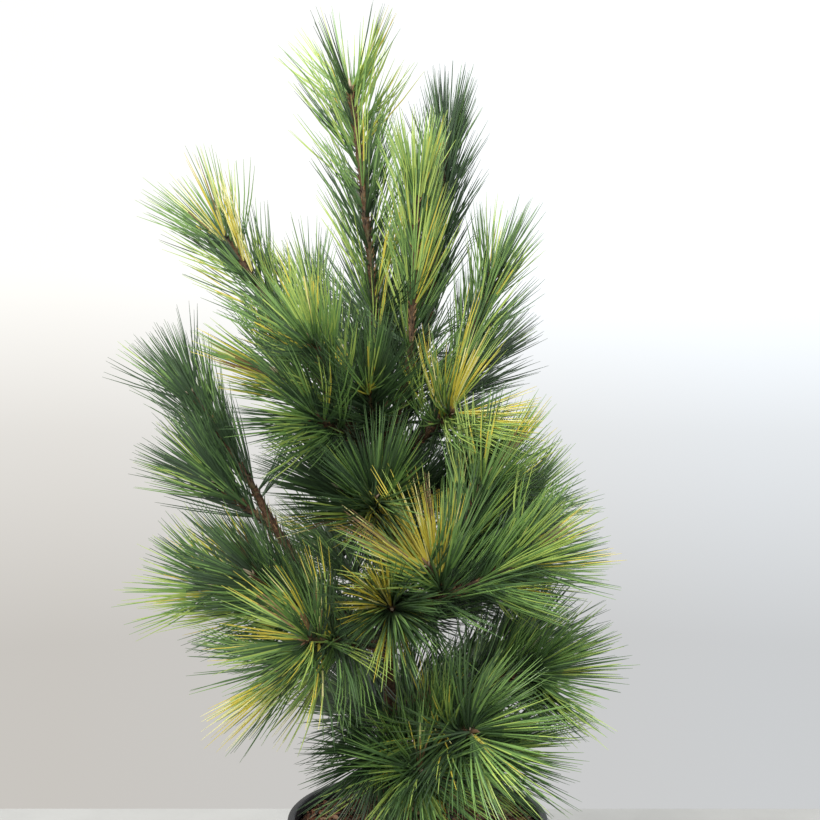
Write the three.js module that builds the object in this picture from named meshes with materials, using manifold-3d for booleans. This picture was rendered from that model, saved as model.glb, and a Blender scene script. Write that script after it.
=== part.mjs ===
// A young variegated Macedonian pine in a round nursery pot. Millimetres, +Z up.
// The origin is the middle of the pot's flat underside, and the plant's front faces -Y.

import * as THREE from "three";
import { mergeVertices } from "three/addons/utils/BufferGeometryUtils.js";
import Module from "manifold-3d";

const wasm = await Module();
wasm.setup();

const { degToRad, lerp, seededRandom } = THREE.MathUtils;

// Clearance kept between any two pieces, and what a five-sided tube needs to keep it on its flats.
const GAP = 0.3;
const TUBE_GAP = 0.38;

// Pot: a thin tapered wall with a stout band under a turned-out lip.
const POT_HEIGHT = 190;
const RIM_RADIUS = 110;
const FOOT_RADIUS = 80;
const WALL = 2;
const BAND_HEIGHT = 24;
const BAND_STEP = 2.5;
const LIP_HEIGHT = 4;
const LIP_STEP = 2;
const POT_SIDES = 36;
const DRAIN_SLOTS = 8;
const DRAIN_RADIUS = 64;
const DRAIN_SIZE = [16, 7, 12];

// Compost: fills the pot to a little below its rim, with a level middle round the trunk's foot.
const COMPOST_TOP = 184;
const COMPOST_FALL = 4;
const COMPOST_LEVEL_RADIUS = 36;

// Trunk: its line from the compost to the foot of the leading shoot, and the heights of its whorls.
const TRUNK_FOOT = COMPOST_TOP + GAP;
const TRUNK_TOP = 620;
const TRUNK_LINE = [
  [-13, 4, TRUNK_FOOT],
  [-21, 2, 250],
  [-24, 0, 300],
  [-25, 0, 356],
  [-28, 2, 424],
  [-33, 4, 492],
  [-36, 5, 560],
  [-37, 4, TRUNK_TOP],
];
const TRUNK_RADIUS = 5.8;
const TRUNK_TOP_RADIUS = 3.2;
const FLARE_RADIUS = 4;
const FLARE_HEIGHT = 14;
const TRUNK_SIDES = 8;
const TRUNK_RINGS = 15;
const shareOfTrunk = (height) => (height - TRUNK_FOOT) / (TRUNK_TOP - TRUNK_FOOT);
const LOW_WHORL = shareOfTrunk(258);
const MIDDLE_WHORL = shareOfTrunk(350);
const UPPER_WHORL = shareOfTrunk(490);

// Limbs are five-sided. A longer bough is stouter, and every shoot ends in a bud.
const LIMB_SIDES = 5;
const BOUGH_RINGS = 6;
const BOUGH_RADIUS = 2.6;
const BOUGH_STOUTNESS = 0.008;
const BOUGH_TAPER = 0.8;
const STEM_RADIUS = 2.6;
const STEM_TIP_RADIUS = 2.2;
const BUD_LENGTH = 9;
const BUD_TIP_RADIUS = 0.5;
const BEND = 0.45;
const SIBLING_REACH = 30;

// Needles: each spike stands for a bundle, broader than life so that the crown is full. They stand
// in rings of six up the stem, and the angles at which they open vary more towards its bud.
const STEM_SIDES = 6;
const NEEDLE_LENGTH = 86;
const LEAST_RINGS = 5;
const RING_STEP = 11;
const TUFT_SHARE = 0.78;
const LEAST_OPENING = 13;
const OPENING_JITTER = [0.2, 0.5];
const TURN_JITTER = 8;
const BARE_FOOT = 0.13;
const BARE_END = 0.03;
const CROSSING_FREE = 0.15;
const POT_CLEARANCE = 3;
const SEED = 7;

// Boughs: the limb each grows on, how far along it, and where its tip stands.
const boughs = [
  { name: "bough_second_leader", on: "trunk", at: UPPER_WHORL + 0.02, tip: [-6, -15, 590] },
  { name: "bough_back_leader", on: "trunk", at: UPPER_WHORL + 0.01, tip: [6, 26, 590] },
  { name: "bough_right", on: "trunk", at: UPPER_WHORL, tip: [16, -26, 521] },
  { name: "bough_left_front", on: "trunk", at: UPPER_WHORL - 0.01, tip: [-62, -52, 545] },
  { name: "bough_upper_left", on: "trunk", at: UPPER_WHORL + 0.015, tip: [-80, 8, 552] },
  { name: "bough_far_left", on: "trunk", at: MIDDLE_WHORL - 0.03, tip: [-142, 22, 465] },
  { name: "bough_left_rising", on: "trunk", at: MIDDLE_WHORL + 0.01, tip: [-84, -36, 370] },
  { name: "bough_left_level", on: "trunk", at: MIDDLE_WHORL - 0.02, tip: [-90, -10, 358] },
  { name: "bough_left_front_low", on: "trunk", at: MIDDLE_WHORL - 0.03, tip: [-54, -54, 348] },
  { name: "bough_right_front", on: "trunk", at: MIDDLE_WHORL, tip: [17, -84, 392] },
  { name: "bough_back_left", on: "trunk", at: MIDDLE_WHORL + 0.03, tip: [-56, 52, 380] },
  { name: "bough_back", on: "trunk", at: MIDDLE_WHORL, tip: [-18, 56, 372] },
  { name: "bough_right_low", on: "trunk", at: LOW_WHORL + 0.02, tip: [52, -17, 304] },
];

// Shoots: leafy stems that carry on from a limb. Spread is how far the needles at a stem's foot
// open, in degrees, and tuft is how far those round its bud do where that isn't its usual share.
const shoots = [
  { name: "leader", on: "trunk", at: 1, tip: [-57, -2, 808], spread: 26, tuft: 34, leaf: "bright" },
  {
    name: "second_leader", on: "bough_second_leader", at: 1, tip: [0, -20, 716],
    spread: 17, tuft: 18, leaf: "bright",
  },
  {
    name: "back_leader", on: "bough_back_leader", at: 1, tip: [26, 38, 768],
    spread: 13, tuft: 11, leaf: "dark",
  },
  { name: "right_gold", on: "bough_right", at: 1, tip: [28, -42, 533], spread: 46, tuft: 40, leaf: "gold" },
  {
    name: "right_upper", on: "bough_right", at: 0.8, tip: [66, 15, 650],
    spread: 20, tuft: 20, leaf: "bright",
  },
  { name: "left_front", on: "bough_left_front", at: 1, tip: [-83, -80, 588], spread: 30, leaf: "bright" },
  {
    name: "left_front_side", on: "bough_left_front", at: 0.5, tip: [-84, -76, 530],
    spread: 36, leaf: "gold",
  },
  {
    name: "upper_left", on: "bough_upper_left", at: 1, tip: [-166, 0, 682],
    spread: 22, tuft: 28, leaf: "bright",
  },
  {
    name: "upper_left_side", on: "bough_upper_left", at: 0.6, tip: [-118, -22, 566],
    spread: 28, leaf: "gold",
  },
  {
    name: "back_left_upper", on: "trunk", at: UPPER_WHORL + 0.05, tip: [-98, 58, 640],
    spread: 18, leaf: "dark",
  },
  { name: "back_upper", on: "trunk", at: UPPER_WHORL + 0.07, tip: [-30, 74, 620], spread: 24, leaf: "green" },
  {
    name: "back_right_upper", on: "trunk", at: UPPER_WHORL - 0.02, tip: [56, 66, 578],
    spread: 26, leaf: "dark",
  },
  {
    name: "upper_front", on: "trunk", at: UPPER_WHORL + 0.04, tip: [-40, -60, 552],
    spread: 34, leaf: "dark",
  },
  { name: "inner_left", on: "trunk", at: UPPER_WHORL - 0.11, tip: [-66, -30, 470], spread: 26, leaf: "dark" },
  {
    name: "inner_front", on: "trunk", at: MIDDLE_WHORL + 0.18, tip: [-34, -84, 466],
    spread: 28, leaf: "dark",
  },
  { name: "inner_right", on: "trunk", at: UPPER_WHORL - 0.09, tip: [38, -26, 474], spread: 34, leaf: "dark" },
  { name: "inner_back", on: "trunk", at: UPPER_WHORL - 0.12, tip: [-12, 80, 476], spread: 34, leaf: "green" },
  {
    name: "inner_left_back", on: "trunk", at: UPPER_WHORL - 0.08, tip: [-64, 58, 500],
    spread: 26, leaf: "green",
  },
  { name: "far_left", on: "bough_far_left", at: 1, tip: [-197, 20, 550], spread: 18, tuft: 20, leaf: "dark" },
  { name: "far_left_side", on: "bough_far_left", at: 0.78, tip: [-172, 6, 474], spread: 24, leaf: "dark" },
  { name: "left_rising", on: "bough_left_rising", at: 1, tip: [-132, -64, 404], spread: 34, leaf: "green" },
  { name: "left_level", on: "bough_left_level", at: 1, tip: [-168, -26, 388], spread: 32, leaf: "bright" },
  {
    name: "left_front_low", on: "bough_left_front_low", at: 1, tip: [-86, -100, 360],
    spread: 44, leaf: "gold",
  },
  {
    name: "left_under", on: "bough_left_front_low", at: 0.55, tip: [-108, -56, 326],
    spread: 34, leaf: "green",
  },
  {
    name: "centre_front", on: "trunk", at: MIDDLE_WHORL + 0.06, tip: [-20, -105, 384],
    spread: 22, tuft: 22, leaf: "gold",
  },
  {
    name: "gold_tuft", on: "bough_right_front", at: 1, tip: [6, -104, 418],
    spread: 34, tuft: 32, leaf: "gold",
  },
  { name: "right_rising", on: "bough_right_front", at: 0.8, tip: [55, -56, 484], spread: 28, leaf: "bright" },
  {
    name: "right_front", on: "bough_right_front", at: 0.9, tip: [83, -76, 417],
    spread: 34, tuft: 30, leaf: "bright",
  },
  { name: "right_side", on: "trunk", at: MIDDLE_WHORL + 0.08, tip: [84, 2, 446], spread: 30, leaf: "green" },
  { name: "right_back", on: "trunk", at: MIDDLE_WHORL + 0.02, tip: [92, 48, 410], spread: 30, leaf: "dark" },
  {
    name: "left_back", on: "trunk", at: MIDDLE_WHORL - 0.06, tip: [-135, 66, 388],
    spread: 30, leaf: "green",
  },
  { name: "back_left", on: "bough_back_left", at: 1, tip: [-84, 112, 412], spread: 34, leaf: "green" },
  { name: "back", on: "bough_back", at: 1, tip: [-14, 128, 408], spread: 34, leaf: "bright" },
  {
    name: "back_right", on: "trunk", at: MIDDLE_WHORL - 0.03, tip: [64, 110, 374],
    spread: 34, leaf: "green",
  },
  { name: "right_low", on: "bough_right_low", at: 1, tip: [96, -50, 322], spread: 36, leaf: "green" },
  { name: "right_low_back", on: "bough_right_low", at: 0.7, tip: [96, 32, 332], spread: 32, leaf: "dark" },
  { name: "front_right_low", on: "trunk", at: LOW_WHORL, tip: [40, -118, 296], spread: 60, leaf: "green" },
  { name: "front_low", on: "trunk", at: LOW_WHORL - 0.05, tip: [2, -104, 262], spread: 50, leaf: "green" },
  { name: "left_low", on: "trunk", at: LOW_WHORL + 0.03, tip: [-44, 30, 272], spread: 34, leaf: "dark" },
  {
    name: "left_low_front", on: "trunk", at: LOW_WHORL - 0.02, tip: [-34, -56, 254],
    spread: 38, leaf: "green",
  },
  { name: "right_skirt", on: "trunk", at: LOW_WHORL - 0.03, tip: [62, -58, 262], spread: 38, leaf: "green" },
  { name: "back_left_low", on: "trunk", at: LOW_WHORL, tip: [-50, 84, 272], spread: 34, leaf: "green" },
  { name: "back_low", on: "trunk", at: LOW_WHORL - 0.04, tip: [-6, 100, 272], spread: 34, leaf: "dark" },
  {
    name: "back_right_low", on: "trunk", at: LOW_WHORL + 0.05, tip: [58, 76, 292],
    spread: 34, leaf: "green",
  },
];

const materials = {
  pot: new THREE.MeshStandardMaterial({ color: "#16161a", roughness: 0.5, metalness: 0 }),
  compost: new THREE.MeshStandardMaterial({ color: "#5a3626", roughness: 0.95, metalness: 0 }),
  bark: new THREE.MeshStandardMaterial({ color: "#4a3023", roughness: 0.9, metalness: 0 }),
  dark: new THREE.MeshStandardMaterial({ color: "#24472f", roughness: 0.5, metalness: 0 }),
  green: new THREE.MeshStandardMaterial({ color: "#386b33", roughness: 0.5, metalness: 0 }),
  bright: new THREE.MeshStandardMaterial({ color: "#5c9136", roughness: 0.5, metalness: 0 }),
  gold: new THREE.MeshStandardMaterial({ color: "#a9a03a", roughness: 0.5, metalness: 0 }),
};

// A closed geometry as a solid that can be joined and cut.
function solidOf(geometry) {
  const bare = new THREE.BufferGeometry()
    .setAttribute("position", geometry.getAttribute("position"))
    .setIndex(geometry.index);
  const merged = mergeVertices(bare, 1e-4);
  return new wasm.Manifold(
    new wasm.Mesh({
      numProp: 3,
      vertProperties: merged.attributes.position.array,
      triVerts: new Uint32Array(merged.index.array),
    }),
  );
}

// A solid as a named mesh.
function meshOf(name, solid, material) {
  const { numProp, numVert, vertProperties, triVerts } = solid.getMesh();
  const positions = new Float32Array(numVert * 3);
  for (let i = 0; i < numVert; i++) {
    positions.set(vertProperties.subarray(i * numProp, i * numProp + 3), i * 3);
  }
  const geometry = new THREE.BufferGeometry()
    .setAttribute("position", new THREE.BufferAttribute(positions, 3))
    .setIndex(new THREE.BufferAttribute(triVerts, 1));
  geometry.computeVertexNormals();
  const mesh = new THREE.Mesh(geometry, material);
  mesh.name = name;
  return mesh;
}

// The largest body of a solid: a cut can leave a loose scrap.
const largestBody = (solid) =>
  solid.decompose().reduce((best, body) => (body.volume() > best.volume() ? body : best));

// A profile turned round the Z axis. Points are [radius, height], from the axis and back to it.
function turned(profile) {
  const points = profile.map(([radius, height]) => new THREE.Vector2(radius, height));
  return new THREE.LatheGeometry(points, POT_SIDES).rotateX(Math.PI / 2);
}

// The radius of the pot's outside at a height, below its band.
const potRadiusAt = (height) =>
  lerp(FOOT_RADIUS, RIM_RADIUS - LIP_STEP - BAND_STEP, height / POT_HEIGHT);

function buildPot() {
  const band = POT_HEIGHT - BAND_HEIGHT;
  const lip = POT_HEIGHT - LIP_HEIGHT;
  const outside = [
    [0, 0],
    [FOOT_RADIUS, 0],
    [potRadiusAt(band), band],
    [potRadiusAt(band) + BAND_STEP, band + BAND_STEP],
    [RIM_RADIUS - LIP_STEP, lip],
    [RIM_RADIUS, lip],
    [RIM_RADIUS, POT_HEIGHT],
  ];
  const inside = [
    [potRadiusAt(POT_HEIGHT) - WALL, POT_HEIGHT],
    [FOOT_RADIUS - WALL, WALL],
    [0, WALL],
  ];
  let pot = solidOf(turned([...outside, ...inside]));
  for (let i = 0; i < DRAIN_SLOTS; i++) {
    const slot = new THREE.BoxGeometry(...DRAIN_SIZE)
      .translate(DRAIN_RADIUS, 0, 0)
      .rotateZ((i * 2 * Math.PI) / DRAIN_SLOTS);
    pot = pot.subtract(solidOf(slot));
  }
  return pot;
}

function buildCompost() {
  const edge = COMPOST_TOP - COMPOST_FALL;
  const floor = WALL + GAP;
  return solidOf(
    turned([
      [0, floor],
      [potRadiusAt(floor) - WALL - 2 * GAP, floor],
      [potRadiusAt(edge) - WALL - 2 * GAP, edge],
      [COMPOST_LEVEL_RADIUS, COMPOST_TOP],
      [0, COMPOST_TOP],
    ]),
  );
}

// A cylinder whose rings of points are moved to their shares of a curve's length. A ring is
// [share, radius], and each turns on from the one below it by twist steps of the cylinder's sides.
function bentCylinder({ curve, rings, sides, twist = 0 }, extra = 0) {
  const geometry = new THREE.CylinderGeometry(1, 1, 1, sides, rings.length - 1);
  const chord = curve.getPoint(1).sub(curve.getPoint(0));
  const reference = new THREE.Vector3(1, 0, 0);
  if (Math.abs(chord.x) > Math.abs(chord.z)) {
    reference.set(0, 0, 1);
  }
  const position = geometry.getAttribute("position");
  const rows = new Float32Array(position.count);
  for (let i = 0; i < position.count; i++) {
    rows[i] = Math.round((position.getY(i) + 0.5) * (rings.length - 1));
    const [share, radius] = rings[rows[i]];
    const tangent = curve.getTangentAt(share);
    const across = reference.clone().cross(tangent).normalize();
    const over = tangent.clone().cross(across);
    const offset = over.multiplyScalar(position.getX(i)).addScaledVector(across, position.getZ(i));
    offset.applyAxisAngle(tangent, (twist * rows[i] * 2 * Math.PI) / sides);
    const point = curve.getPointAt(share).addScaledVector(offset, radius + extra);
    position.setXYZ(i, point.x, point.y, point.z);
  }
  return geometry.setAttribute("row", new THREE.BufferAttribute(rows, 1));
}

const tube = (limb, extra) => solidOf(bentCylinder(limb, extra));

// The straight stretches of a limb's middle line, with its radius, for testing what comes near it.
function stretches(curve, rings) {
  return rings.slice(1).map(([share, radius], i) => ({
    line: new THREE.Line3(curve.getPointAt(rings[i][0]), curve.getPointAt(share)),
    foot: rings[i][1],
    tip: radius,
  }));
}

const limbs = new Map();

function addLimb(limb) {
  limb.stretches = stretches(limb.curve, limb.rings);
  limbs.set(limb.name, limb);
}

function growTrunk() {
  const curve = new THREE.CatmullRomCurve3(TRUNK_LINE.map((point) => new THREE.Vector3(...point)));
  const height = TRUNK_TOP - TRUNK_FOOT;
  const rings = [];
  for (let i = 0; i < TRUNK_RINGS; i++) {
    const share = (i / (TRUNK_RINGS - 1)) ** 1.5;
    const flare = FLARE_RADIUS * Math.exp((-share * height) / FLARE_HEIGHT);
    rings.push([share, lerp(TRUNK_RADIUS, TRUNK_TOP_RADIUS, share) + flare]);
  }
  const trunk = { name: "trunk", curve, rings, sides: TRUNK_SIDES };
  trunk.solid = tube(trunk).trimByPlane([0, 0, 1], TRUNK_FOOT);
  addLimb(trunk);
}

// The curve of a limb from its parent to its tip. A bough leaves nearly level and then rises;
// a shoot on a limb's end first carries on in that limb's direction.
function courseOf({ on, at, tip }, level) {
  const parent = limbs.get(on);
  const foot = parent.curve.getPointAt(at);
  const end = new THREE.Vector3(...tip);
  const lead = end.clone().sub(foot).normalize();
  if (at === 1) {
    lead.multiplyScalar(1.5).add(parent.curve.getTangentAt(1));
  } else {
    lead.z *= level;
  }
  const bend = lead.normalize().multiplyScalar(BEND * foot.distanceTo(end)).add(foot);
  return new THREE.QuadraticBezierCurve3(foot, bend, end);
}

// Cuts a limb's foot clear of its parent and of the limbs that left the same place before it.
function cutFoot(solid, limb) {
  const parent = limbs.get(limb.on);
  let cut = solid;
  if (limb.at === 1) {
    const end = parent.curve.getPointAt(1);
    const facing = parent.curve.getTangentAt(1);
    cut = cut.trimByPlane(facing.toArray(), facing.dot(end) + GAP);
  } else {
    cut = cut.subtract(tube(parent, TUBE_GAP));
  }
  for (const other of limbs.values()) {
    if (other === limb) {
      break;
    }
    if (other.on === limb.on && other.curve.v0.distanceTo(limb.curve.v0) < SIBLING_REACH) {
      cut = cut.subtract(tube(other, TUBE_GAP));
    }
  }
  return largestBody(cut);
}

function growBough(bough) {
  const curve = courseOf(bough, 0.45);
  const stout = BOUGH_RADIUS + BOUGH_STOUTNESS * curve.getLength();
  const rings = [];
  for (let i = 0; i < BOUGH_RINGS; i++) {
    const share = i / (BOUGH_RINGS - 1);
    rings.push([share, lerp(stout, BOUGH_TAPER * stout, share)]);
  }
  const limb = { ...bough, curve, rings, sides: LIMB_SIDES };
  limb.solid = cutFoot(tube(limb), limb);
  addLimb(limb);
}

// A shoot's stem has a ring of points for each ring of needles, and each ring is half a side
// on from the last, so that its facets are even triangles.
function growStem(shoot) {
  const curve = courseOf(shoot, 0.8);
  const length = curve.getLength();
  const count = Math.round(LEAST_RINGS + length / RING_STEP);
  const rings = [];
  for (let i = 0; i <= count; i++) {
    const share = (i / count) * (1 - BUD_LENGTH / length);
    rings.push([share, lerp(STEM_RADIUS, STEM_TIP_RADIUS, share)]);
  }
  rings.push([1, BUD_TIP_RADIUS]);
  addLimb({ ...shoot, curve, rings, sides: STEM_SIDES, twist: -0.5 });
}

const distanceFrom = (line, point) =>
  line.closestPointToPoint(point, false, new THREE.Vector3()).distanceTo(point);

// The needles that a shoot would bear: one on each facet that points up the stem.
function needlesOf(stem) {
  const geometry = bentCylinder(stem);
  const position = geometry.getAttribute("position");
  const row = geometry.getAttribute("row");
  const bare = stem.at === 1 ? BARE_END : BARE_FOOT;
  const needles = [];
  for (let face = 0; face < geometry.index.count / 3; face++) {
    const corners = [0, 1, 2].map((k) => geometry.index.getX(3 * face + k));
    const [lowest, middle, highest] = corners.map((i) => row.getX(i)).sort((a, b) => a - b);
    const share = stem.rings[lowest][0];
    if (lowest !== middle || middle === highest || highest === stem.rings.length - 1 || share < bare) {
      continue;
    }
    const points = corners.map((i) => new THREE.Vector3().fromBufferAttribute(position, i));
    const root = new THREE.Triangle(...points).getMidpoint(new THREE.Vector3());
    const axis = new THREE.Line3(stem.curve.getPointAt(share), stem.curve.getPointAt(stem.rings[highest][0]));
    const outward = axis.closestPointToPoint(root, false, new THREE.Vector3()).sub(root).normalize().negate();
    const tangent = axis.delta(new THREE.Vector3()).normalize();
    const order = (share - bare) / (1 - bare);
    const opening = lerp(stem.spread, stem.tuft ?? TUFT_SHARE * stem.spread, order);
    const jitter = 1 + lerp(...OPENING_JITTER, order) * (2 * seededRandom() - 1);
    const open = degToRad(Math.max(opening * jitter, LEAST_OPENING));
    outward.applyAxisAngle(tangent, degToRad(TURN_JITTER * (2 * seededRandom() - 1)));
    const way = tangent.multiplyScalar(Math.cos(open)).addScaledVector(outward, Math.sin(open));
    const reach = NEEDLE_LENGTH * (0.85 + 0.2 * seededRandom());
    const line = new THREE.Line3(root, root.clone().addScaledVector(way, reach));
    const foot = Math.max(...points.map((corner) => distanceFrom(line, corner)));
    needles.push({ shoot: stem.name, face, line, foot, tip: 0 });
  }
  return needles;
}

// Whether two tapering stretches stay clear of each other.
const nearestOnA = new THREE.Vector3();
const nearestOnB = new THREE.Vector3();
function clear(a, b, gap = GAP) {
  const apart = Math.sqrt(a.line.distanceSqToLine3(b.line, nearestOnA, nearestOnB));
  const thickA = lerp(a.foot, a.tip, a.line.closestPointToPointParameter(nearestOnA, true));
  const thickB = lerp(b.foot, b.tip, b.line.closestPointToPointParameter(nearestOnB, true));
  return apart > thickA + thickB + gap;
}

// Whether a needle stays above the compost and outside the pot.
function clearsPot({ line }) {
  const point = new THREE.Vector3();
  for (let share = 0; share <= 1; share += 0.125) {
    line.at(share, point);
    const inPot = Math.hypot(point.x, point.y) < RIM_RADIUS + POT_CLEARANCE;
    if (inPot && point.z < POT_HEIGHT + POT_CLEARANCE) {
      return false;
    }
  }
  return true;
}

// Whether two needles of one shoot cross beyond their roots, which may stand side by side.
function cross(a, b) {
  const [freeA, freeB] = [a, b].map((needle) => ({
    line: new THREE.Line3(needle.line.at(CROSSING_FREE, new THREE.Vector3()), needle.line.end),
    foot: 0.6 * needle.foot,
    tip: 0,
  }));
  return !clear(freeA, freeB, 0);
}

// Whether a needle can join those kept so far.
function fits(needle, kept) {
  if (!clearsPot(needle)) {
    return false;
  }
  for (const limb of limbs.values()) {
    if (limb.name !== needle.shoot && !limb.stretches.every((part) => clear(needle, part))) {
      return false;
    }
  }
  const middle = needle.line.getCenter(new THREE.Vector3());
  return kept.every((other) => {
    const apart = middle.distanceTo(other.line.getCenter(new THREE.Vector3()));
    if (apart > NEEDLE_LENGTH * 1.1) {
      return true;
    }
    return other.shoot === needle.shoot ? !cross(needle, other) : clear(needle, other);
  });
}

// The shoots take turns, each from its tip down, so that where two grow into each other both
// keep their share of the space between them.
function keepClear(wanted) {
  const kept = [];
  const turns = Math.max(...wanted.map((needles) => needles.length));
  for (let turn = 1; turn <= turns; turn++) {
    for (const needles of wanted) {
      const needle = needles.at(-turn);
      if (turn <= needles.length && fits(needle, kept)) {
        kept.push(needle);
      }
    }
  }
  return kept;
}

// A shoot: its stem with the facet under each kept needle drawn out to the needle's point.
function leafyShoot(stem, kept) {
  const geometry = bentCylinder(stem);
  const points = [...geometry.getAttribute("position").array];
  const faces = [...geometry.index.array];
  for (const { face, line } of kept) {
    const [a, b, c] = faces.slice(3 * face, 3 * face + 3);
    const point = points.length / 3;
    points.push(...line.end.toArray());
    faces.splice(3 * face, 3, a, b, point);
    faces.push(b, c, point, c, a, point);
  }
  geometry.setAttribute("position", new THREE.Float32BufferAttribute(points, 3)).setIndex(faces);
  return cutFoot(solidOf(geometry), stem);
}

seededRandom(SEED);
const plant = new THREE.Group();
plant.add(meshOf("pot", buildPot(), materials.pot));
plant.add(meshOf("compost", buildCompost(), materials.compost));

growTrunk();
boughs.forEach(growBough);
for (const limb of limbs.values()) {
  plant.add(meshOf(limb.name, limb.solid, materials.bark));
}

shoots.forEach(growStem);
const stems = shoots.map(({ name }) => limbs.get(name));
const needles = keepClear(stems.map(needlesOf));
for (const stem of stems) {
  const kept = needles.filter((needle) => needle.shoot === stem.name);
  plant.add(meshOf(`needles_${stem.name}`, leafyShoot(stem, kept), materials[stem.leaf]));
}

export default plant;
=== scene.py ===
# A young variegated Macedonian pine in a black nursery pot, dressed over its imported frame.

import bisect
import math
import random

import bmesh
import bpy
from mathutils import Matrix, Vector, noise
from mathutils.geometry import interpolate_bezier


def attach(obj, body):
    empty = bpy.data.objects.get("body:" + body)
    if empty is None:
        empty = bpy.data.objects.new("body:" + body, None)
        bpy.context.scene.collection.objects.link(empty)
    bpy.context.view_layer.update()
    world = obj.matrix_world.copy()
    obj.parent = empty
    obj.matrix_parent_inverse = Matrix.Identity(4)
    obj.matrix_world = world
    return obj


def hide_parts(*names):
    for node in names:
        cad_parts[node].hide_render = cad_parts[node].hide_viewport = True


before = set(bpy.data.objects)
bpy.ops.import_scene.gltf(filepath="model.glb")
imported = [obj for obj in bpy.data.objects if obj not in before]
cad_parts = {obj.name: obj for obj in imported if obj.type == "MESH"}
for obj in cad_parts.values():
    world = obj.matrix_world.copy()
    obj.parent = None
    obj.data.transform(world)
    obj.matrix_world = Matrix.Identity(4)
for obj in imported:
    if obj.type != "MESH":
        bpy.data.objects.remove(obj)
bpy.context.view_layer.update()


# Pot
# A round nursery pot, moulded in thin black plastic: a tapered wall, a stout band under the
# rolled lip, and slots round the floor that let water out.

MM = 0.001
POT_HEIGHT = 190 * MM
RIM_RADIUS = 110 * MM
FOOT_RADIUS = 80 * MM
WALL = 1.6 * MM
BAND_HEIGHT = 24 * MM
BAND_STEP = 2.5 * MM
LIP_HEIGHT = 4 * MM
LIP_STEP = 2 * MM
FLOOR_LIFT = 1.2 * MM
RING_STEP = 0.5 * MM
POT_SIDES = 112
ROUNDING_STEPS = 4
DRAIN_SLOTS = 8
DRAIN_RADIUS = 64 * MM
DRAIN_LENGTH = 16 * MM
DRAIN_WIDTH = 7 * MM
DRAIN_SIDES = 16
CUTTER_FOOT = -5 * MM
CUTTER_HEIGHT = 12 * MM
DUST_HEIGHT = 45 * MM


class Wire:
    """One output of a node. Sums on wires add Math nodes to their tree; add() adds any other."""

    def __init__(self, tree, socket=None):
        self.tree = tree
        self.socket = socket

    def add(self, kind, settings=None, inputs=None, output=0):
        node = self.tree.nodes.new(kind)
        for name, value in (settings or {}).items():
            if name == "stops":
                ramp = node.color_ramp.elements
                while len(ramp) < len(value):
                    ramp.new(1)
                for stop, (place, colour) in zip(ramp, value):
                    stop.position, stop.color = place, (*colour, 1)
            else:
                setattr(node, name, value)
        for key, value in (inputs or {}).items():
            named = [s for s in node.inputs if s.enabled and s.name == key]
            socket = named[0] if named else node.inputs[key]
            if isinstance(value, Wire):
                self.tree.links.new(value.socket, socket)
            else:
                socket.default_value = value
        usable = [s for s in node.outputs if s.enabled and output in (s.name, 0)]
        return Wire(self.tree, usable[0] if usable else None)

    def out(self, name):
        return Wire(self.tree, self.socket.node.outputs[name])

    def maths(self, operation, *values):
        return self.add("ShaderNodeMath", {"operation": operation}, dict(enumerate(values)))

    def vector(self, operation, *values):
        settings = {"operation": operation}
        return self.add("ShaderNodeVectorMath", settings, dict(enumerate(values)))

    def __add__(self, other):
        return self.maths("ADD", self, other)

    def __sub__(self, other):
        return self.maths("SUBTRACT", self, other)

    def __rsub__(self, other):
        return self.maths("SUBTRACT", other, self)

    def __mul__(self, other):
        return self.maths("MULTIPLY", self, other)

    __radd__ = __add__
    __rmul__ = __mul__


class Finish:
    """A material whose even values sit on its shader, and whose varying ones are wired to it."""

    def __init__(self, name, **even):
        self.material = bpy.data.materials.new(name)
        self.material.use_nodes = True
        tree = self.material.node_tree
        self.shader = tree.nodes["Principled BSDF"]
        self.start = Wire(tree)
        for socket, value in even.items():
            self.shader.inputs[socket.replace("_", " ")].default_value = value

    def place(self):
        """The point being coloured, in metres in the object's own frame."""
        return self.start.add("ShaderNodeTexCoord", output="Object")

    def grain(self, scale, detail, roughness=0.55):
        """Cloudy noise from 0 to 1, with that many features to the metre."""
        values = {"Vector": self.place(), "Scale": scale, "Detail": detail, "Roughness": roughness}
        return self.start.add("ShaderNodeTexNoise", inputs=values)

    def ramp(self, value, *stops):
        """Colours read off a scale of stops. A stop is (value, colour)."""
        return self.start.add("ShaderNodeValToRGB", {"stops": stops}, {"Fac": value})

    def blend(self, share, a, b):
        settings = {"data_type": "RGBA"}
        values = {"Factor": share, "A": a, "B": b}
        return self.start.add("ShaderNodeMix", settings, values)

    def bump(self, height, distance, strength):
        values = {"Height": height, "Distance": distance, "Strength": strength}
        self.vary("Normal", self.start.add("ShaderNodeBump", inputs=values))

    def vary(self, socket, wire):
        self.start.tree.links.new(wire.socket, self.shader.inputs[socket])


def lerp(a, b, share):
    return a + (b - a) * share


def rounded(corners):
    """A profile with its corners rounded. A corner is (radius, height, rounding)."""
    profile = []
    for i, (radius, height, rounding) in enumerate(corners):
        corner = Vector((radius, 0, height))
        if rounding == 0:
            profile.append(corner)
            continue
        before = Vector((corners[i - 1][0], 0, corners[i - 1][1]))
        after = Vector((corners[i + 1][0], 0, corners[i + 1][1]))
        start = corner + (before - corner).normalized() * rounding
        end = corner + (after - corner).normalized() * rounding
        pull_in, pull_out = start.lerp(corner, 0.6), end.lerp(corner, 0.6)
        profile += interpolate_bezier(start, pull_in, pull_out, end, ROUNDING_STEPS)
    return profile


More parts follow.
